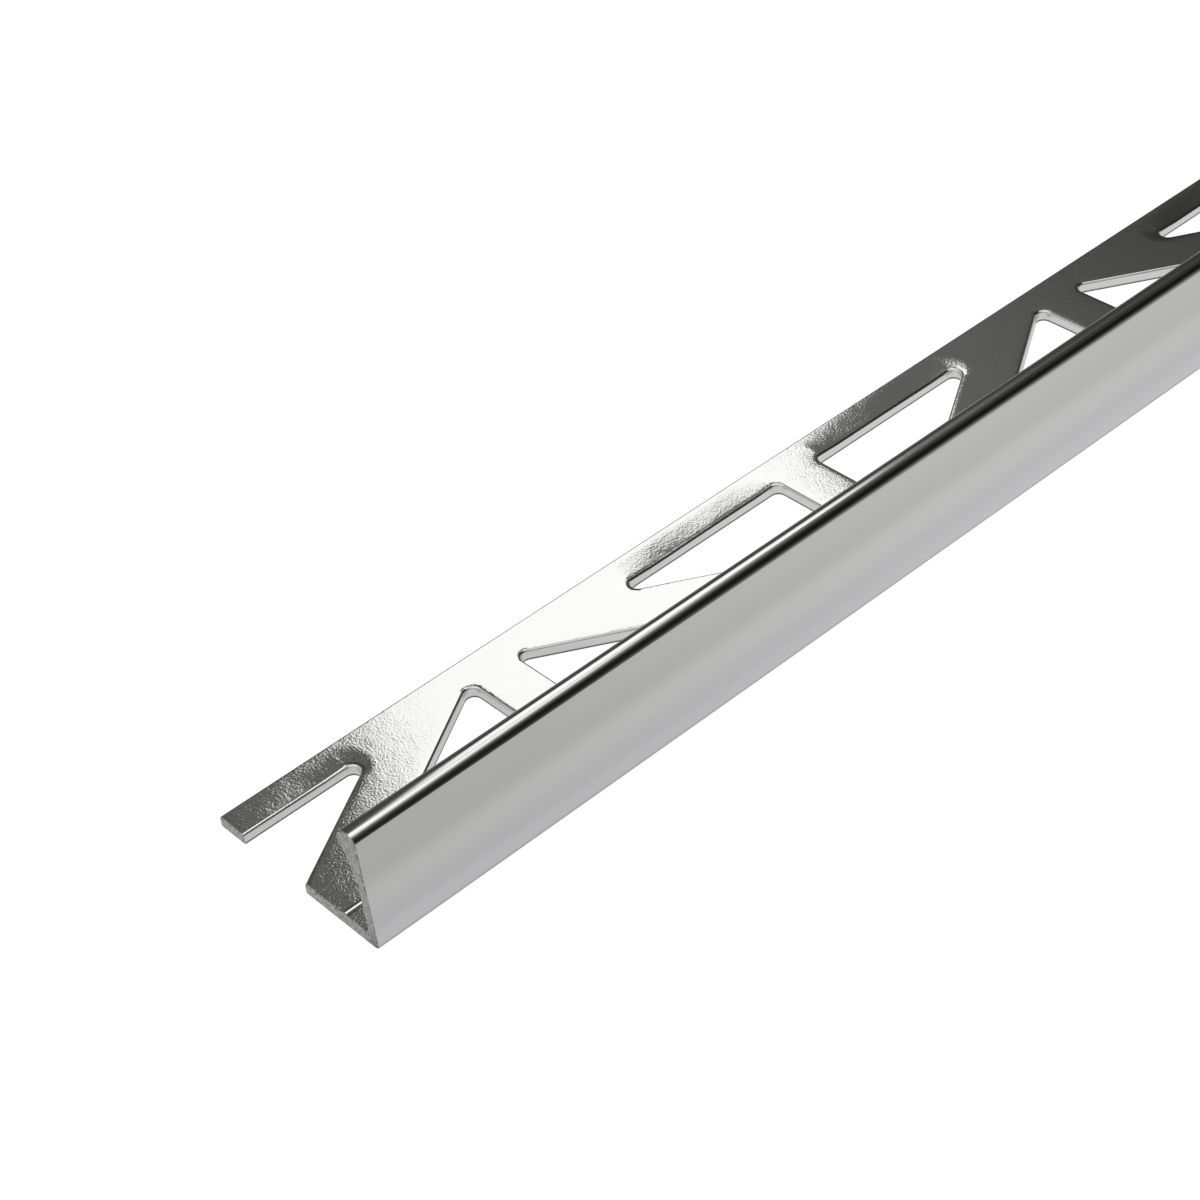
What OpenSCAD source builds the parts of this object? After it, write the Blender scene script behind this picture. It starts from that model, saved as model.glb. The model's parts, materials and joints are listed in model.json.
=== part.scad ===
// Tile edge trim: one extruded bar with a punched anchoring leg.
// The visible face looks to -Y, the leg reaches to +Y and lies flat on Z = 0.
// X runs along the bar, with the origin under the middle of its bounding box.

/* [Stock] */
// Length of the bar as it is sold
stock_l = 1000; // [300:10:3000]

/* [Section] */
// Overall height, which is the tile thickness that the trim suits
trim_h = 12.5; // [10:0.5:16]
// Lean of the visible face towards the tile, in degrees
face_lean = 3; // [0:0.5:5]
// Depth from the foot of the visible face to the rear edge of the leg
leg_w = 22; // [20:0.5:28]
// Thickness of the anchoring leg
leg_t = 1.2; // [0.8:0.1:1.8]
// Thickness of the upright wall below its flare
wall_t = 1; // [0.8:0.1:1.4]
// Thickness of the top edge
edge_t = 2.6; // [2.4:0.1:3.2]
// Rounding of the top edge on its visible side
edge_front_r = 1; // [0.6:0.1:1.1]
// Rounding of the top edge on its tile side
edge_rear_r = 1.1; // [0.6:0.1:1.2]
// Straight land below the rear rounding
edge_land = 0.2; // [0.1:0.05:0.6]
// Hollow radius of the flare between the wall and the top edge
flare_r = 10.5; // [6:0.5:14]
// Fillet in the corner between the wall and the leg
root_r = 0.7; // [0.3:0.1:1]
// Rounding under the visible face
heel_r = 0.35; // [0.1:0.05:0.6]
// Rounding of the two corners at the rear edge of the leg
toe_r = 0.25; // [0.1:0.05:0.35]

/* [Seat rib] */
// Distance from the foot of the visible face to the middle of the rib
rib_y = 4.4; // [3.6:0.1:4.5]
// Width of the rib at its foot
rib_w = 0.8; // [0.6:0.1:1]
// Height of the rib above the leg
rib_h = 0.2; // [0.15:0.05:0.3]

/* [Perforation] */
// Distance from the foot of the visible face to the front of the openings
open_y = 5.2; // [5:0.1:7]
// Width of the rim behind the openings
rim_w = 3.45; // [2.5:0.05:5]
// Width of the struts that cross the leg squarely
strut_w = 5.4; // [3:0.1:8]
// Width of the slanting braces
brace_w = 5.8; // [3:0.1:8]
// Angle of the braces to the length of the bar
brace_angle = 31; // [25:1:40]
// Distance by which a rounded tip stops short of the far side of the row of openings
tip_gap = 0.2; // [0:0.05:1]
// Rounding of the corners of the openings
open_r = 0.85; // [0.4:0.05:1.2]
// Distance from the sawn end to the first square strut
first_strut = 29.3; // [0:0.1:60]

/* [Hidden] */
$fn = 64;
// How far a cutter reaches past the face it cuts
past = 1;
// How far a rounding overlaps the line that it runs into, so that the two cross cleanly
hair = 0.0002;

// Upright, measured along its own lean: its rounded front corner is the top of the bar
upright_h = edge_front_r + (trim_h - edge_front_r + edge_front_r * sin(face_lean)) / cos(face_lean);

// Heel: its rounding sets the foremost line a little behind the sharp foot of the leaning face
heel_front = heel_r / tan(45 - face_lean / 2) - heel_r;

// Flare: it starts tangent to the wall and ends on the land of the top edge
flare_top = upright_h - edge_rear_r - edge_land;
flare_foot = flare_top - sqrt(pow(flare_r, 2) - pow(flare_r + wall_t - edge_t, 2));

// Rib: a shallow arc of its width and height
rib_r = (pow(rib_w / 2, 2) + pow(rib_h, 2)) / (2 * rib_h);

// Openings: right-angled triangles, whose size is that of their sharp corners
open_depth = leg_w - rim_w - open_y;
tip_cut = open_r * (tan(brace_angle) + 1 / cos(brace_angle) - 1);
open_w = open_depth - tip_gap + tip_cut;
open_l = open_w / tan(brace_angle);

// Struts: the openings on both sides of every second strut have their long side in front
half_pitch = strut_w + open_l + brace_w / sin(brace_angle) + (open_w - open_depth) / tan(brace_angle);
strut_first = -ceil(first_strut / half_pitch) - 1;
strut_last = ceil((stock_l - first_strut) / half_pitch) + 1;

// Unit vector from a towards b
function unit(a, b) = (b - a) / norm(b - a);

// Half of the corner at p, between its neighbours a and b
function half_corner(a, p, b) = acos(unit(p, a) * unit(p, b)) / 2;

// Middle of a rounding of radius r in the corner at p
function corner_middle(a, p, b, r) =
    let (way = unit(p, a) + unit(p, b))
    p + way / norm(way) * r / sin(half_corner(a, p, b));

// Takes the convex corner at p down to radius r
module corner_cut(a, p, b, r) {
    middle = corner_middle(a, p, b, r);
    run = r / tan(half_corner(a, p, b));
    ends = [p + unit(p, a) * run, p + unit(p, b) * run];
    out = p - middle + unit(middle, p) * past;
    difference() {
        polygon([ends[0], ends[0] + out, ends[1] + out, ends[1]]);
        translate(middle) circle(r + hair);
    }
}

// Point of the upright, given along and across its own lean
function lean(p) = [
    p[0] * cos(face_lean) + p[1] * sin(face_lean),
    p[1] * cos(face_lean) - p[0] * sin(face_lean)
];

// Hollow side of the flare, from a little below its foot upwards
module flare_hollow() {
    intersection() {
        translate(lean([wall_t + flare_r, flare_foot])) circle(flare_r + hair, $fn = 256);
        polygon([
            lean([0, flare_foot - past]),
            lean([0, upright_h]),
            lean([leg_w, upright_h]),
            lean([leg_w, flare_foot - past])
        ]);
    }
}

// Space behind the upright and above the leg and its rib, where the tile goes
module tile_space() {
    root = lean([wall_t, (leg_t + wall_t * sin(face_lean)) / cos(face_lean)]);
    wall_end = lean([wall_t, flare_foot]);
    beyond = leg_w + past;
    difference() {
        polygon([
            root,
            wall_end,
            lean([edge_t, flare_foot]),
            lean([edge_t, upright_h + past]),
            [beyond, upright_h + past],
            [beyond, leg_t]
        ]);
        corner_cut([beyond, leg_t], root, wall_end, root_r);
        translate([rib_y, leg_t + rib_h - rib_r]) circle(rib_r);
    }
    flare_hollow();
}

// The extruded section, X from the foot of the visible face and Y up
module trim_section() {
    heel = [0, 0];
    toe = [leg_w, 0];
    toe_top = [leg_w, leg_t];
    front_top = lean([0, upright_h]);
    rear_top = lean([edge_t, upright_h]);
    difference() {
        polygon([heel, front_top, rear_top, [leg_w, rear_top[1]], toe]);
        tile_space();
        corner_cut(toe, heel, front_top, heel_r);
        corner_cut(heel, front_top, rear_top, edge_front_r);
        corner_cut(front_top, rear_top, lean([edge_t, flare_foot]), edge_rear_r);
        corner_cut(toe, toe_top, [0, leg_t], toe_r);
        corner_cut(heel, toe, toe_top, toe_r);
    }
}

// Opening beside a strut at X = 0, on its +X side, with its long side in front or at the rear
module opening(long_at_rear) {
    square_y = long_at_rear ? open_y + open_depth : open_y;
    tip_y = long_at_rear ? square_y - open_w : square_y + open_w;
    square_corner = [strut_w / 2, square_y];
    long_tip = [strut_w / 2 + open_l, square_y];
    short_tip = [strut_w / 2, tip_y];
    difference() {
        polygon([square_corner, long_tip, short_tip]);
        corner_cut(short_tip, square_corner, long_tip, open_r);
        corner_cut(square_corner, long_tip, short_tip, open_r);
        corner_cut(long_tip, short_tip, square_corner, open_r);
    }
}

module trim_profile() {
    color("silver")
    translate([-stock_l / 2, -(heel_front + leg_w) / 2, 0])
    difference() {
        rotate([90, 0, 90]) linear_extrude(stock_l) trim_section();
        for (i = [strut_first:strut_last], side = [0, 1])
            translate([first_strut + i * half_pitch, 0, -past])
                linear_extrude(leg_t + 2 * past) mirror([side, 0]) opening(i % 2 != 0);
    }
}

trim_profile();
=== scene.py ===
"""Tile edge trim: a bright aluminium bar with a rounded edge and a punched leg, lying on a white table."""
import json
import math

import bmesh
import bpy
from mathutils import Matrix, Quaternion, Vector

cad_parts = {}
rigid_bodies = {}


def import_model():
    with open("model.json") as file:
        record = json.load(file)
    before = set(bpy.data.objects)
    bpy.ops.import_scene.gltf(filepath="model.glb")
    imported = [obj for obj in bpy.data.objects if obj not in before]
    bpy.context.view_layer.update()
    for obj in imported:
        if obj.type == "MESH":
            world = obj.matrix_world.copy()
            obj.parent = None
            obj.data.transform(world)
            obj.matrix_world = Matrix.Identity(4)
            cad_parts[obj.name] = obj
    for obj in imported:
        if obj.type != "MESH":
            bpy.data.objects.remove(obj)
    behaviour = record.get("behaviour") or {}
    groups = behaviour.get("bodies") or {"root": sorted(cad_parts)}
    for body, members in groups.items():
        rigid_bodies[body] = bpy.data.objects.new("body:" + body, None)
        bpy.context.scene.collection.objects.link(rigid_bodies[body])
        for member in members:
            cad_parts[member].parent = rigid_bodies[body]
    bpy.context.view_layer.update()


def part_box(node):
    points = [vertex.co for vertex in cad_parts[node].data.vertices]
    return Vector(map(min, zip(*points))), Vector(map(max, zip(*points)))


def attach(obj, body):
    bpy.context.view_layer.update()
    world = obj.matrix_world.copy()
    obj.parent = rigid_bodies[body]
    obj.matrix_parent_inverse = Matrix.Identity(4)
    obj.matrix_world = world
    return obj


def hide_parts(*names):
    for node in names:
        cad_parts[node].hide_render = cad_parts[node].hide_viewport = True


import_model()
bar_low, bar_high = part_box("trim_profile")

# The bar is drawn in millimetres and brought to metres once it is whole.
MM = 0.001
X_AXIS = Vector((1, 0, 0))
Y_AXIS = Vector((0, 1, 0))
Z_AXIS = Vector((0, 0, 1))

# Section, measured from the foot of the visible face
STOCK_L = (bar_high.x - bar_low.x) / MM
TRIM_H = (bar_high.z - bar_low.z) / MM
REAR_Y = bar_high.y / MM
LEG_W = 22.0
LEG_T = 1.2
FACE_LEAN = math.radians(3)
WALL_T = 1.0
EDGE_T = 2.6
EDGE_FRONT_R = 1.0
EDGE_REAR_R = 1.28
EDGE_LAND = 0.02
FLARE_R = 10.5
ROOT_R = 0.7
HEEL_R = 0.35
TOE_R = 0.25
RIB_Y = 4.4
RIB_W = 0.8
RIB_H = 0.2

# Perforation of the leg
OPEN_Y = 5.2
RIM_W = 3.45
STRUT_W = 5.4
BRACE_W = 5.8
BRACE_ANGLE = math.radians(31)
TIP_GAP = 0.2
OPEN_R = 0.85
FIRST_STRUT = 29.3

# The punch draws the metal down round each opening: a wide shallow dish, steeper inwards, and a rolled lip
DISH_REACH = 2.6
DISH_DEPTH = 0.015
DISH_POWER = 5
DISH_RINGS = 7
LIP_R = 0.25
LIP_RINGS = 4
SIDE_STEP = 2.5
# A rear rim sags beside its opening: each run starts and stops so far from the sharp tip, and adds its drop
RIM_SAG = ((0.8, 19, 0.075), (3, 19, 0.045), (3, 9, 0.03), (3, 7, 0.025))
# Room for the dish in front of the openings, up to the rib, and behind them, up to the rounded rear edge
FRONT_ROOM = 0.3
REAR_ROOM = 3.1

# Saw: the burr was taken off the ends
END_CHAMFER = 0.1

# Buffing reached the faces whose normals lean forward by more than this
FORWARD_LEAN = 0.1

# Mesh: the largest turn of one facet on a rounding, in degrees, the sharpest edge that is shaded smooth,
# and the distance at which points are one
ARC_STEP = 7.5
SMOOTH_ANGLE = math.radians(31)
WELD = 0.0005

# Camera of the photograph: its place, its turn in degrees and its focal length in millimetres
CAMERA_AT = Vector((-583.05, -146.51, 164.57)) * MM
CAMERA_TURN = (50.44, 4.61, -43.04)
CAMERA_LENS = 81.34


# Modelling helpers

def new_mesh(name):
    """Starts an empty mesh object in edit mode."""
    bpy.ops.object.select_all(action="DESELECT")
    bpy.ops.mesh.primitive_plane_add(size=1)
    bpy.context.object.name = name
    bpy.ops.object.mode_set(mode="EDIT")
    bpy.ops.mesh.select_mode(type="VERT")
    bpy.ops.mesh.delete(type="VERT")
    return bpy.context.object


def pick(kind, test):
    """Selects the verts, edges or faces of the edited mesh that pass the test, and nothing else."""
    bpy.ops.mesh.select_mode(type={"verts": "VERT", "edges": "EDGE", "faces": "FACE"}[kind])
    bpy.ops.mesh.select_all(action="DESELECT")
    mesh = bmesh.from_edit_mesh(bpy.context.object.data)
    for item in getattr(mesh, kind):
        if test(item):
            item.select_set(True)
    mesh.select_flush_mode()
    bmesh.update_edit_mesh(bpy.context.object.data)


def start_line(point):
    """Merges a small plane into one vertex, from which a line is drawn."""
    bpy.ops.mesh.select_mode(type="VERT")
    bpy.ops.mesh.primitive_plane_add(size=0.1, location=point)
    bpy.ops.mesh.merge(type="CENTER")
    return Vector(point)


def draw_line(here, point, step=math.inf):
    """Draws a straight line, in equal pieces that are no longer than the step."""
    pieces = max(1, math.ceil((point - here).length / step))
    for _ in range(pieces):
        bpy.ops.mesh.extrude_vertices_move(TRANSFORM_OT_translate={"value": (point - here) / pieces})
    return point


def draw_arc(here, middle, angle, axis):
    """Draws an arc about an axis. Spin counts its angle the other way round."""
    steps = max(2, math.ceil(abs(math.degrees(angle)) / ARC_STEP))
    bpy.ops.mesh.spin(steps=steps, angle=-angle, center=middle, axis=axis)
    return middle + Quaternion(axis, angle) @ (here - middle)


def draw_corner(here, corner, after, radius, axis, step=math.inf):
    """Draws up to a corner and round it, and returns the end of the rounding."""
    back = (here - corner).normalized()
    ahead = (after - corner).normalized()
    half = back.angle(ahead) / 2
    middle = corner + (back + ahead).normalized() * radius / math.sin(half)
    turn = math.copysign(math.pi - 2 * half, -back.cross(ahead).dot(axis))
    here = draw_line(here, corner + back * radius / math.tan(half), step)
    return draw_arc(here, middle, turn, axis)


def across(y, z):
    """Point of the section, from the foot of the visible face, in the bar's own frame."""
    return Vector((0, y + REAR_Y - LEG_W, z))


def leaning(depth, height):
    """Point of the upright, given across and along its own lean."""
    return across(depth * math.cos(FACE_LEAN) + height * math.sin(FACE_LEAN),
                  height * math.cos(FACE_LEAN) - depth * math.sin(FACE_LEAN))


# Derived sizes
ROUNDING_Z = TRIM_H - EDGE_FRONT_R
UPRIGHT_H = EDGE_FRONT_R + (ROUNDING_Z + EDGE_FRONT_R * math.sin(FACE_LEAN)) / math.cos(FACE_LEAN)
FLARE_TOP = UPRIGHT_H - EDGE_REAR_R - EDGE_LAND
FLARE_TURN = math.acos((FLARE_R + WALL_T - EDGE_T) / FLARE_R)
FLARE_FOOT = FLARE_TOP - FLARE_R * math.sin(FLARE_TURN)
RIB_R = ((RIB_W / 2) ** 2 + RIB_H ** 2) / (2 * RIB_H)
RIB_FRONT = RIB_Y - RIB_W / 2
RIB_REAR = RIB_Y + RIB_W / 2
OPEN_DEPTH = LEG_W - RIM_W - OPEN_Y
OPEN_W = OPEN_DEPTH - TIP_GAP + OPEN_R * (math.tan(BRACE_ANGLE) + 1 / math.cos(BRACE_ANGLE) - 1)
OPEN_L = OPEN_W / math.tan(BRACE_ANGLE)
HALF_PITCH = (STRUT_W + OPEN_L + BRACE_W / math.sin(BRACE_ANGLE)
              + (OPEN_W - OPEN_DEPTH) / math.tan(BRACE_ANGLE))
BRACE_MIDDLE = across(OPEN_Y + OPEN_DEPTH / 2, LEG_T) + X_AXIS * HALF_PITCH / 2


# Finishes

def linear(hex_code):
    """Linear colour of an sRGB hex value."""
    parts = [int(hex_code[k:k + 2], 16) / 255 for k in (1, 3, 5)]
    return [c / 12.92 if c <= 0.04045 else ((c + 0.055) / 1.055) ** 2.4 for c in parts] + [1]


def add_node(tree, kind, links=None, **settings):
    """Adds a node with its settings and sets or links its inputs. A node links by its first output."""
    node = tree.nodes.new(kind)
    for name, value in settings.items():
        setattr(node, name, value)
    for name, value in (links or {}).items():
        if isinstance(value, bpy.types.Node):
            value = value.outputs[0]
        if isinstance(value, bpy.types.NodeSocket):
            tree.links.new(value, node.inputs[name])
        else:
            node.inputs[name].default_value = value
    return node


def per_mm(*sizes):
    """Texture scale, on coordinates in metres, for a pattern of one size or of three in millimetres."""
    scales = [1 / (size * MM) for size in sizes]
    return scales if len(scales) > 1 else scales[0]


def new_metal(name, hex_code, roughness):
    """Starts a bare metal and returns it with its tree, its shader and its coordinates."""
    material = bpy.data.materials.new(name)
    material.use_nodes = True
    tree = material.node_tree
    shader = tree.nodes["Principled BSDF"]
    shader.inputs["Base Color"].default_value = linear(hex_code)
    shader.inputs["Metallic"].default_value = 1
    shader.inputs["Roughness"].default_value = roughness
    place = add_node(tree, "ShaderNodeTexCoord").outputs["Object"]
    return material, tree, shader, place


def polished_aluminium():
    """Aluminium, extruded and buffed along its length: a soft mirror with faint long streaks."""
    material, tree, shader, place = new_metal("polished_aluminium", "#E6E6E6", 0.1)
    # Buffing streaks are about 0.3 mm wide and 40 mm long
    along = add_node(tree, "ShaderNodeMapping", {"Vector": place, "Scale": per_mm(40, 0.3, 0.3)})
    streaks = add_node(tree, "ShaderNodeTexNoise", {"Vector": along, "Scale": 1, "Detail": 2})
    gloss = add_node(tree, "ShaderNodeMapRange", {
        "Value": streaks, "From Min": 0.3, "From Max": 0.7, "To Min": 0.07, "To Max": 0.13})
    tree.links.new(gloss.outputs["Result"], shader.inputs["Roughness"])
    relief = add_node(tree, "ShaderNodeBump", {"Height": streaks, "Strength": 1, "Distance": 0.0006 * MM})
    tree.links.new(relief.outputs["Normal"], shader.inputs["Normal"])
    return material


def extruded_aluminium():
    """Aluminium as it left the press: bright, with a fine grain that breaks reflections into sparks."""
    material, tree, shader, place = new_metal("extruded_aluminium", "#E4E4E3", 0.07)
    # Grains are drawn about 0.24 mm wide, as coarse as they need to be to show, on a swell of about 2 mm
    grains = add_node(tree, "ShaderNodeTexNoise", {"Vector": place, "Scale": per_mm(0.24), "Detail": 1})
    swell = add_node(tree, "ShaderNodeTexNoise", {"Vector": place, "Scale": per_mm(2), "Detail": 1})
    wave = add_node(tree, "ShaderNodeBump", {"Height": swell, "Strength": 1, "Distance": 0.01 * MM})
    relief = add_node(tree, "ShaderNodeBump", {
        "Height": grains, "Normal": wave, "Strength": 1, "Distance": 0.006 * MM})
    tree.links.new(relief.outputs["Normal"], shader.inputs["Normal"])
    return material


def sheared_aluminium():
    """Aluminium cut by the punch: pale walls, scratched along the stroke and darker at the foot, where the
    torn fracture zone carries a painted contact shadow.
    """
    material, tree, shader, place = new_metal("sheared_aluminium", "#E8E8E6", 0.35)
    # Scratches are about 0.12 mm apart and run the height of the wall; the dark foot, 0.2 mm high, is the
    # torn fracture zone with a painted contact shadow
    stroke = add_node(tree, "ShaderNodeMapping", {"Vector": place, "Scale": per_mm(0.12, 0.12, 1.5)})
    scratches = add_node(tree, "ShaderNodeTexNoise", {"Vector": stroke, "Scale": 1, "Detail": 2})
    spot = add_node(tree, "ShaderNodeSeparateXYZ", {"Vector": place})
    above_foot = add_node(tree, "ShaderNodeMapRange", {
        "Value": spot.outputs["Z"], "From Min": 0.1 * MM, "From Max": 0.25 * MM})
    # Darker colour at the foot: the torn fracture zone, and painted contact shadow where the wall meets the
    # table
    colour = add_node(tree, "ShaderNodeMix", {
        "Factor": above_foot, 6: linear("#5A5A58"), 7: linear("#E8E8E6")}, data_type="RGBA")
    tree.links.new(colour.outputs[2], shader.inputs["Base Color"])
    relief = add_node(tree, "ShaderNodeBump", {"Height": scratches, "Strength": 1, "Distance": 0.01 * MM})
    tree.links.new(relief.outputs["Normal"], shader.inputs["Normal"])
    return material


def sawn_aluminium():
    """Aluminium cut by a saw: matt and grey, mottled by the marks of the teeth."""
    material, tree, shader, place = new_metal("sawn_aluminium", "#B4B4B2", 0.42)
    # Tooth marks are about 0.3 mm apart and lie across the cut
    across_cut = add_node(tree, "ShaderNodeMapping", {"Vector": place, "Scale": per_mm(1, 0.3, 0.45)})
    marks = add_node(tree, "ShaderNodeTexNoise", {
        "Vector": across_cut, "Scale": 1, "Detail": 3, "Roughness": 0.7})
    contrast = add_node(tree, "ShaderNodeMapRange", {"Value": marks, "From Min": 0.35, "From Max": 0.65})
    mottle = add_node(tree, "ShaderNodeMix", {
        "Factor": contrast, 6: linear("#8C8C8A"), 7: linear("#D2D2D0")}, data_type="RGBA")
    tree.links.new(mottle.outputs[2], shader.inputs["Base Color"])
    relief = add_node(tree, "ShaderNodeBump", {"Height": marks, "Strength": 1, "Distance": 0.05 * MM})
    tree.links.new(relief.outputs["Normal"], shader.inputs["Normal"])
    return material


# The bar

def draw_upright():
    """Draws the section from below the rib round the upright to the rear foot of the rib."""
    heel = across(0, 0)
    front_top = leaning(0, UPRIGHT_H)
    rear_top = leaning(EDGE_T, UPRIGHT_H)
    land_end = leaning(EDGE_T, FLARE_TOP)
    root = leaning(WALL_T, (LEG_T + WALL_T * math.sin(FACE_LEAN)) / math.cos(FACE_LEAN))
    rib_foot = across(RIB_FRONT, LEG_T)
    here = start_line(across(RIB_REAR, 0))
    here = draw_corner(here, heel, front_top, HEEL_R, X_AXIS)
    here = draw_corner(here, front_top, rear_top, EDGE_FRONT_R, X_AXIS)
    here = draw_corner(here, rear_top, land_end, EDGE_REAR_R, X_AXIS)
    here = draw_line(here, land_end)
    here = draw_arc(here, leaning(WALL_T + FLARE_R, FLARE_FOOT), FLARE_TURN, X_AXIS)
    here = draw_corner(here, root, rib_foot, ROOT_R, X_AXIS)
    here = draw_line(here, rib_foot)
    draw_arc(here, across(RIB_Y, LEG_T + RIB_H - RIB_R), -2 * math.asin(RIB_W / 2 / RIB_R), X_AXIS)


def draw_toe():
    """Draws the rounded rear edge of the leg."""
    here = start_line(across(LEG_W - TOE_R, LEG_T))
    here = draw_arc(here, across(LEG_W - TOE_R, LEG_T - TOE_R), -math.pi / 2, X_AXIS)
    here = draw_line(here, across(LEG_W, TOE_R))
    draw_arc(here, across(LEG_W - TOE_R, TOE_R), -math.pi / 2, X_AXIS)


def sweep_line():
    """Pulls the line that was just drawn along half a pitch of the perforation."""
    bpy.ops.mesh.select_linked()
    bpy.ops.mesh.extrude_edges_move(TRANSFORM_OT_translate={"value": X_AXIS * HALF_PITCH})


def dish_profile():
    """Distance from the opening and depth below the leg, from the rim of the dish down its rolled lip."""
    rings = []
    for i in range(DISH_RINGS + 1):
        away = DISH_REACH + (LIP_R - DISH_REACH) * i / DISH_RINGS
        rings.append((away, DISH_DEPTH * (1 - away / DISH_REACH) ** DISH_POWER))
    edge_depth = rings[-1][1]
    for i in range(1, LIP_RINGS + 1):
        roll = math.pi / 2 * i / LIP_RINGS
        rings.append((LIP_R * (1 - math.sin(roll)), edge_depth + LIP_R * (1 - math.cos(roll))))
    return rings


def draw_down(test, drop):
    """Draws the part of a lip that passes the test down, and the dish beside it less and less."""
    pick("verts", test)
    bpy.ops.transform.translate(
        value=(0, 0, -drop), use_proportional_edit=True, proportional_edit_falloff="LINEAR",
        proportional_size=DISH_REACH - LIP_R / 2)


def punch_opening(sag):
    """Makes the opening beside the strut at X = 0: its dish, lip and wall, with the long side in front."""
    square = across(OPEN_Y, LEG_T) + X_AXIS * STRUT_W / 2
    corners = [square, square + X_AXIS * OPEN_L, square + Y_AXIS * OPEN_W]
    sides = [OPEN_L / math.cos(BRACE_ANGLE), OPEN_W, OPEN_L]
    middle = sum((corner * side for corner, side in zip(corners, sides)), Vector()) / sum(sides)
    grow = 1 + DISH_REACH * sum(sides) / (OPEN_L * OPEN_W)
    dish = [middle + (corner - middle) * grow for corner in corners]
    seam = (dish[2] + dish[0]) / 2
    here = start_line(seam)
    for k in range(3):
        here = draw_corner(here, dish[k], dish[(k + 1) % 3], OPEN_R + DISH_REACH, Z_AXIS, SIDE_STEP)
    draw_line(here, seam, SIDE_STEP)
    bpy.ops.mesh.select_linked()
    bpy.ops.mesh.remove_doubles(threshold=WELD)
    bpy.ops.mesh.edge_face_add()
    bpy.ops.mesh.select_mode(type="FACE")
    rings = dish_profile()
    for (away, depth), (next_away, next_depth) in zip(rings, rings[1:]):
        bpy.ops.mesh.inset(thickness=away - next_away, use_even_offset=True)
        bpy.ops.transform.translate(value=(0, 0, depth - next_depth))
    # The long side of the lip, and how far each of its points is from the sharp tip
    lip = [v for v in bmesh.from_edit_mesh(bpy.context.object.data).verts if v.select]
    tip_x = max(v.co.x for v in lip)
    rim = {v.index: tip_x - v.co.x for v in lip if v.co.y < square.y + 2 * OPEN_R}
    for start, stop, drop in sag:
        draw_down(lambda v: start <= rim.get(v.index, -1) < stop, drop)
    pick("faces", lambda f: len(f.verts) > 4)
    bpy.ops.mesh.extrude_region_move(TRANSFORM_OT_translate={"value": (0, 0, -LEG_T)})
    bpy.ops.transform.resize(value=(1, 1, 0), center_override=(0, 0, 0))
    bpy.ops.mesh.delete(type="ONLY_FACE")


def punch_pair():
    """Punches the openings on both sides of a brace. The one that sags is turned round to the rear."""
    punch_opening(RIM_SAG)
    bpy.ops.mesh.select_mode(type="VERT")
    bpy.ops.mesh.select_all(action="SELECT")
    bpy.ops.transform.rotate(value=math.pi, orient_axis="Z", center_override=BRACE_MIDDLE)
    punch_opening(())


def fit_dishes():
    """Draws the dishes in before the rib, and out to the rear edge of the leg."""
    front = across(OPEN_Y, LEG_T)
    rear = across(LEG_W - RIM_W, LEG_T)
    pick("verts", lambda v: v.co.y < front.y - WELD and v.co.z > LEG_T / 2)
    bpy.ops.transform.resize(value=(1, FRONT_ROOM / DISH_REACH, 1), center_override=front)
    pick("verts", lambda v: v.co.y > rear.y + LIP_R + WELD and v.co.z > LEG_T / 2)
    bpy.ops.transform.resize(value=(1, REAR_ROOM / DISH_REACH, 1), center_override=rear)


def close_sheet(height):
    """Fills the leg's top or underside between the section and the openings."""
    middle = across((RIB_REAR + LEG_W - TOE_R) / 2, height) + X_AXIS * HALF_PITCH / 2
    bpy.ops.mesh.primitive_plane_add(size=1, location=middle)
    bpy.ops.transform.resize(value=(HALF_PITCH, LEG_W - TOE_R - RIB_REAR, 1), center_override=middle)
    bpy.ops.mesh.delete(type="ONLY_FACE")
    bpy.ops.mesh.select_all(action="SELECT")
    bpy.ops.mesh.remove_doubles(threshold=WELD)
    pick("edges", lambda e: len(e.link_faces) < 2 and all(abs(v.co.z - height) < WELD for v in e.verts)
         and min(v.co.y for v in e.verts) > across(RIB_REAR, 0).y - WELD)
    bpy.ops.mesh.fill()


def repeat_bar(bar):
    """Mirrors half a pitch about its strut and repeats the whole pitch past both ends of the bar."""
    bpy.ops.object.mode_set(mode="OBJECT")
    mirror = bar.modifiers.new("both_sides_of_the_strut", "MIRROR")
    mirror.merge_threshold = WELD
    repeat = bar.modifiers.new("pitch_after_pitch", "ARRAY")
    repeat.count = math.ceil(STOCK_L / (2 * HALF_PITCH)) + 1
    repeat.use_relative_offset = False
    repeat.use_constant_offset = True
    repeat.constant_offset_displace = X_AXIS * 2 * HALF_PITCH
    repeat.use_merge_vertices = True
    repeat.merge_threshold = WELD
    for modifier in (mirror, repeat):
        bpy.ops.object.modifier_apply(modifier=modifier.name)
    bpy.ops.object.mode_set(mode="EDIT")
    bpy.ops.mesh.select_all(action="SELECT")
    bpy.ops.transform.translate(value=X_AXIS * (FIRST_STRUT - STOCK_L / 2))


def saw_end(way):
    """Saws the bar square at one end and takes the edge of the cut off."""
    bpy.ops.mesh.select_all(action="SELECT")
    cut = X_AXIS * way * (STOCK_L / 2 - END_CHAMFER)
    bpy.ops.mesh.bisect(
        plane_co=cut, plane_no=X_AXIS * way, use_fill=True, clear_outer=True, threshold=WELD)
    pick("faces", lambda f: all(abs(v.co.x - cut.x) < WELD for v in f.verts))
    bpy.ops.mesh.inset(thickness=END_CHAMFER, use_even_offset=True)
    bpy.ops.transform.translate(value=X_AXIS * way * END_CHAMFER)


def is_polished(face):
    """The visible side: the heel, the leaning face and the rounded edge down to its land."""
    middle = face.calc_center_median()
    lip = leaning(EDGE_T, FLARE_TOP)
    looks_forward = face.normal.y < -FORWARD_LEAN
    return (looks_forward and middle.y < lip.y) or middle.z > lip.z


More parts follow.
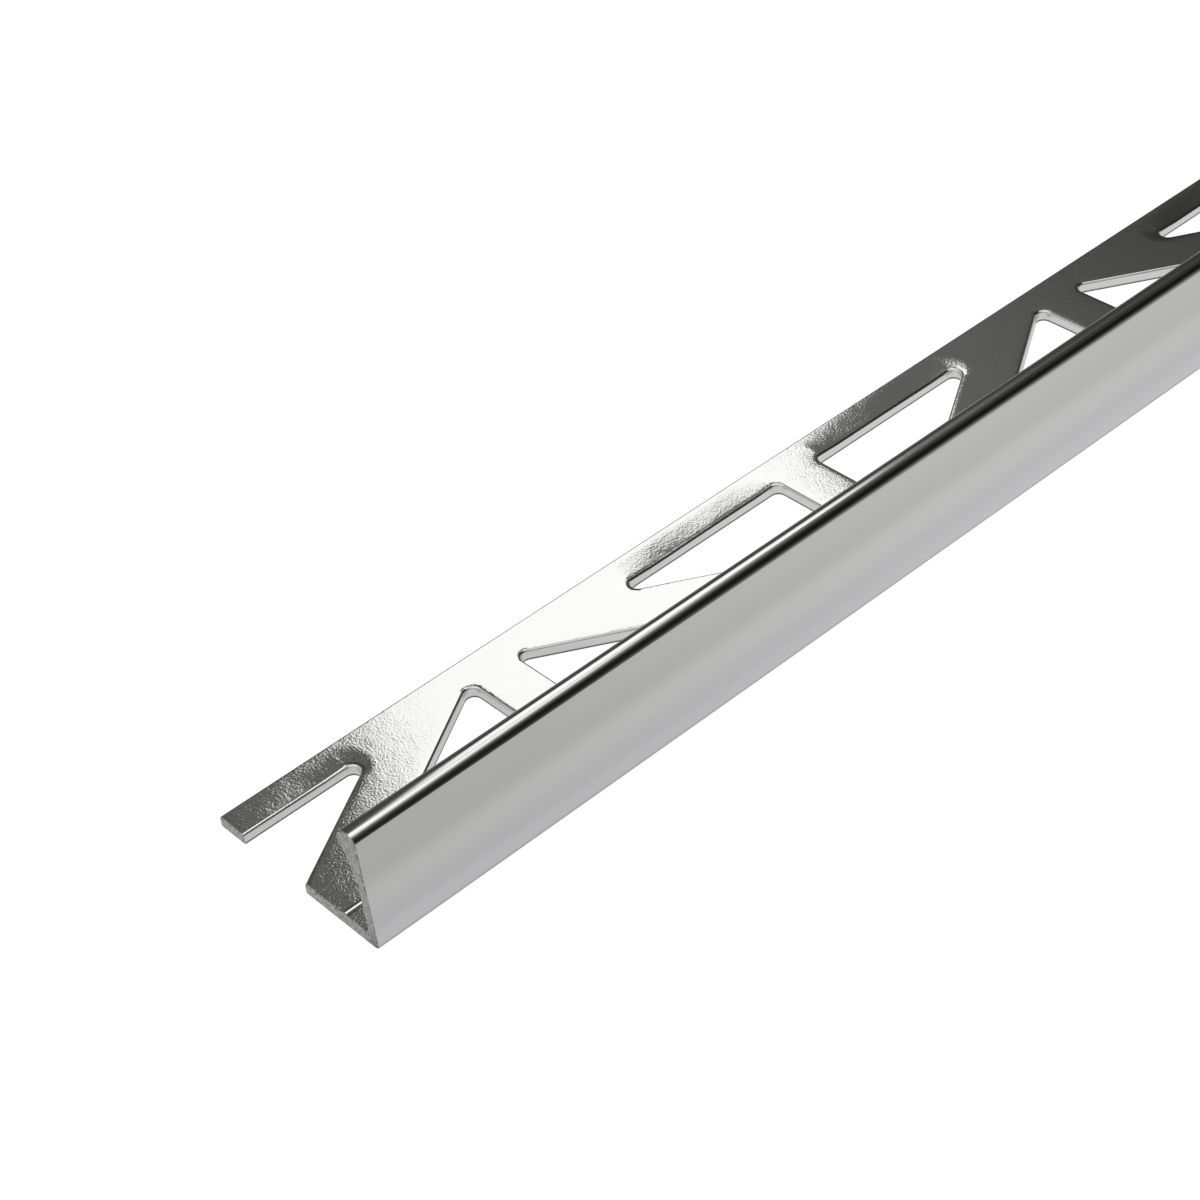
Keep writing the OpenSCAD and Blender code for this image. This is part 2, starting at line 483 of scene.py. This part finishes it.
def is_wall(face):
    """The sheared walls of the openings, from the rolled lip down to the underside."""
    heights = [v.co.z for v in face.verts]
    depth = face.calc_center_median().y - across(0, 0).y
    return OPEN_Y - WELD < depth < LEG_W - RIM_W + WELD and min(heights) < WELD and max(heights) > LEG_T / 2


def is_sawn(face):
    """The two ends with their chamfers."""
    return min(abs(v.co.x) for v in face.verts) > STOCK_L / 2 - END_CHAMFER - WELD


def give_finishes(bar):
    """Sets the finish of each face: the later tests take over from the earlier ones."""
    finishes = [(extruded_aluminium(), lambda face: True), (polished_aluminium(), is_polished),
                (sheared_aluminium(), is_wall), (sawn_aluminium(), is_sawn)]
    for index, (material, test) in enumerate(finishes):
        bar.data.materials.append(material)
        pick("faces", test)
        bar.active_material_index = index
        bpy.ops.object.material_slot_assign()


def make_bar():
    """Models half a pitch, repeats it to the length of the bar, saws the ends and gives it its finishes."""
    bar = new_mesh("trim_bar")
    punch_pair()
    fit_dishes()
    draw_upright()
    sweep_line()
    draw_toe()
    sweep_line()
    close_sheet(LEG_T)
    close_sheet(0)
    repeat_bar(bar)
    saw_end(-1)
    saw_end(1)
    bpy.ops.mesh.select_all(action="SELECT")
    bpy.ops.mesh.normals_make_consistent(inside=False)
    give_finishes(bar)
    bpy.ops.object.mode_set(mode="OBJECT")
    bar.scale = (MM, MM, MM)
    bpy.ops.object.transform_apply(scale=True)
    bpy.ops.object.shade_smooth_by_angle(angle=SMOOTH_ANGLE)
    even = bar.modifiers.new("flats_stay_flat", "WEIGHTED_NORMAL")
    even.keep_sharp = True
    bpy.ops.object.modifier_apply(modifier=even.name)
    return bar


# Table, light and camera

# Table, a hair below the bar. Its paper and white are what the camera sees.
TABLE_SIZE = 8000 * MM
TABLE_Z = -0.05 * MM
TABLE_PAPER = "#A6A6A6"
TABLE_WHITE = 0.87
# How bright the table glows in the bar's reflections only: a painted reflection. Each step changes that
# between two places, in millimetres.
TABLE_GLOW = 0.475
TABLE_STEPS = (
    ("X", -500, -410, 0.1),
    ("Y", -30, -350, -0.3),
    ("Y", -19.8, -23, 0.02),
    ("Y", -19.8, -17.4, 0.08),
    ("Y", -17, -14.3, -0.03),
    ("Y", -14.3, -12, 0.05),
    # Painted contact shadow: a dark strip in the glow right at the foot of the bar's face
    ("Y", -11.6, -11.1, -0.25),
    ("Y", -10.9, -8, 0.36),
    ("Y", 11.5, 20, -0.62))
# Tint and streaks of the painted reflection glow
TABLE_TINT = (-20, -14, "#FFFFFA", "#FDFDFF")
TABLE_STREAK = 0.04

# Room: each light is a product of steps. A step goes by how far a direction leans along a vector: it has the
# vector, the leans where it starts and stops, and its levels there.
PANEL_SLANT = Vector((1, -0.227, 0))
SOFTBOX_SLANT = Vector((1, -0.5, 0))
# The ceiling is dimmer overhead, so that the leg stands out from the table when it is seen from above
PANEL_FADES = ((X_AXIS, 0.2, 0.3, 0.4, 1), (Y_AXIS, 0.49, 0.455, 0, 1), (Z_AXIS, 0.5, 0.7, 0, 1))
ROOM_LIGHTS = {
    "back_wall": ((Y_AXIS, -0.45, 0.4, 0.008, 0.065), (X_AXIS, 0.6, 0.72, 1, 0.6)),
    "back_corner": ((Y_AXIS, 0.42, 0.5, 0, 1), (X_AXIS, 0.5, 0.6, 0, 1), (X_AXIS, 0.62, 0.67, 0.07, 0.04),
                    (Z_AXIS, 0.48, 0.54, 0, 1)),
    "far_wall": ((X_AXIS, 0.85, 1, 0, 0.4),),
    "side_wall": ((X_AXIS, 0.1, -0.25, 0, 0.5),),
    "ceiling_panel": ((PANEL_SLANT, 0.48, 0.36, 0, 1.05), *PANEL_FADES),
    "ceiling": ((PANEL_SLANT, 0.58, 0.42, 0, 0.11), *PANEL_FADES),
    "softbox": ((X_AXIS, 0.584, 0.572, 0, 1.18), (X_AXIS, 0.366, 0.412, 0, 1),
                (SOFTBOX_SLANT, 0.055, 0.085, 0, 1), (Y_AXIS, 0.5, 0.545, 0, 1), (Z_AXIS, 0.49, 0.55, 0, 1)),
    "side_glow": ((X_AXIS, 0.36, 0.35, 0, 0.14), (X_AXIS, 0.335, 0.345, 0, 1), (Z_AXIS, 0.5, 0.6, 0, 1)),
    "front_sweep": ((Z_AXIS, 0, 0.3, 1, 0.25), (Z_AXIS, 0.2, 0.6, 1, 0), (X_AXIS, 0.4, 0.65, 0.06, 0.36),
                    (Y_AXIS, -0.3, -0.5, 0, 1))}
DIM_TINT = "#FFFEF8"


def make_table():
    """White to the camera, with a faint shadow. In the bar's reflections it glows grey, brighter close by: a
    painted reflection, with a painted contact shadow at the bar's foot.
    """
    bpy.ops.object.select_all(action="DESELECT")
    bpy.ops.mesh.primitive_plane_add(size=TABLE_SIZE, location=(0, 0, TABLE_Z))
    bpy.ops.object.transform_apply(location=True)
    table = bpy.context.object
    table.name = "table"
    material = bpy.data.materials.new("white_table")
    material.use_nodes = True
    tree = material.node_tree
    tree.nodes.clear()
    path = add_node(tree, "ShaderNodeLightPath")
    place = add_node(tree, "ShaderNodeTexCoord").outputs["Object"]
    in_mm = add_node(tree, "ShaderNodeMapping", {"Vector": place, "Scale": per_mm(1, 1, 1)})
    spot = add_node(tree, "ShaderNodeSeparateXYZ", {"Vector": in_mm})
    # Faint streaks in the painted reflection glow are about 200 mm long and 5 mm wide
    stretched = add_node(tree, "ShaderNodeMapping", {"Vector": place, "Scale": per_mm(200, 5, 5)})
    streaks = add_node(tree, "ShaderNodeTexNoise", {"Vector": stretched, "Scale": 1, "Detail": 1})
    glow = add_node(tree, "ShaderNodeMapRange", {
        "Value": streaks, "From Min": 0.25, "From Max": 0.75,
        "To Min": TABLE_GLOW - TABLE_STREAK, "To Max": TABLE_GLOW + TABLE_STREAK})
    for axis, start, stop, change in TABLE_STEPS:
        step = add_node(tree, "ShaderNodeMapRange", {
            "Value": spot.outputs[axis], "From Min": start, "From Max": stop,
            "To Min": 0, "To Max": change}, interpolation_type="SMOOTHSTEP")
        glow = add_node(tree, "ShaderNodeMath", {0: glow, 1: step}, operation="ADD")
    start, stop, far_tint, near_tint = TABLE_TINT
    nearness = add_node(tree, "ShaderNodeMapRange", {
        "Value": spot.outputs["Y"], "From Min": start, "From Max": stop, "To Min": 0, "To Max": 1})
    tint = add_node(tree, "ShaderNodeMix", {
        "Factor": nearness, 6: linear(far_tint), 7: linear(near_tint)}, data_type="RGBA")
    # Painted reflection: a glow that only glossy rays see, stepped and tinted by place, with a painted
    # contact shadow
    painted_mirror_glow = add_node(tree, "ShaderNodeEmission", {"Color": tint.outputs[2], "Strength": glow})
    paper = add_node(tree, "ShaderNodeBsdfDiffuse", {"Color": linear(TABLE_PAPER)})
    white = add_node(tree, "ShaderNodeEmission", {"Strength": TABLE_WHITE})
    both = add_node(tree, "ShaderNodeAddShader", {0: paper, 1: white})
    seen = add_node(tree, "ShaderNodeMixShader", {"Fac": path.outputs["Is Camera Ray"], 1: paper, 2: both})
    surface = add_node(tree, "ShaderNodeMixShader", {
        "Fac": path.outputs["Is Glossy Ray"], 1: seen, 2: painted_mirror_glow})
    add_node(tree, "ShaderNodeOutputMaterial", {"Surface": surface})
    table.data.materials.append(material)


def light_room():
    """A plain room, white to the camera, bright on the side of the sawn end and dark on the other."""
    world = bpy.data.worlds.new("studio")
    bpy.context.scene.world = world
    world.use_nodes = True
    tree = world.node_tree
    tree.nodes.clear()
    path = add_node(tree, "ShaderNodeLightPath")
    way = add_node(tree, "ShaderNodeTexCoord").outputs["Generated"]
    glow = 0
    for steps in ROOM_LIGHTS.values():
        level = 1
        for axis, start, stop, low, high in steps:
            lean = add_node(tree, "ShaderNodeVectorMath", {0: way, 1: axis}, operation="DOT_PRODUCT")
            step = add_node(tree, "ShaderNodeMapRange", {
                "Value": lean.outputs["Value"], "From Min": start, "From Max": stop,
                "To Min": low, "To Max": high}, interpolation_type="SMOOTHSTEP")
            level = add_node(tree, "ShaderNodeMath", {0: level, 1: step}, operation="MULTIPLY")
        glow = add_node(tree, "ShaderNodeMath", {0: glow, 1: level}, operation="ADD")
    tint = add_node(tree, "ShaderNodeMix", {
        "Factor": glow, 6: linear(DIM_TINT), 7: linear("#FFFFFF")}, data_type="RGBA")
    room = add_node(tree, "ShaderNodeBackground", {"Strength": glow, "Color": tint.outputs[2]})
    white = add_node(tree, "ShaderNodeBackground", {"Strength": 1, "Color": linear("#FFFFFF")})
    seen = add_node(tree, "ShaderNodeMixShader", {"Fac": path.outputs["Is Camera Ray"], 1: room, 2: white})
    add_node(tree, "ShaderNodeOutputWorld", {"Surface": seen})


def set_camera():
    """Stands in front of the sawn end and looks down along the bar."""
    bpy.ops.object.camera_add(location=CAMERA_AT, rotation=[math.radians(turn) for turn in CAMERA_TURN])
    camera = bpy.context.object
    camera.data.lens = CAMERA_LENS
    camera.data.clip_start = MM
    bpy.context.scene.camera = camera


bar = make_bar()
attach(bar, "root")
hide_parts("trim_profile")
make_table()
light_room()
set_camera()
bpy.context.scene.view_settings.view_transform = "Standard"
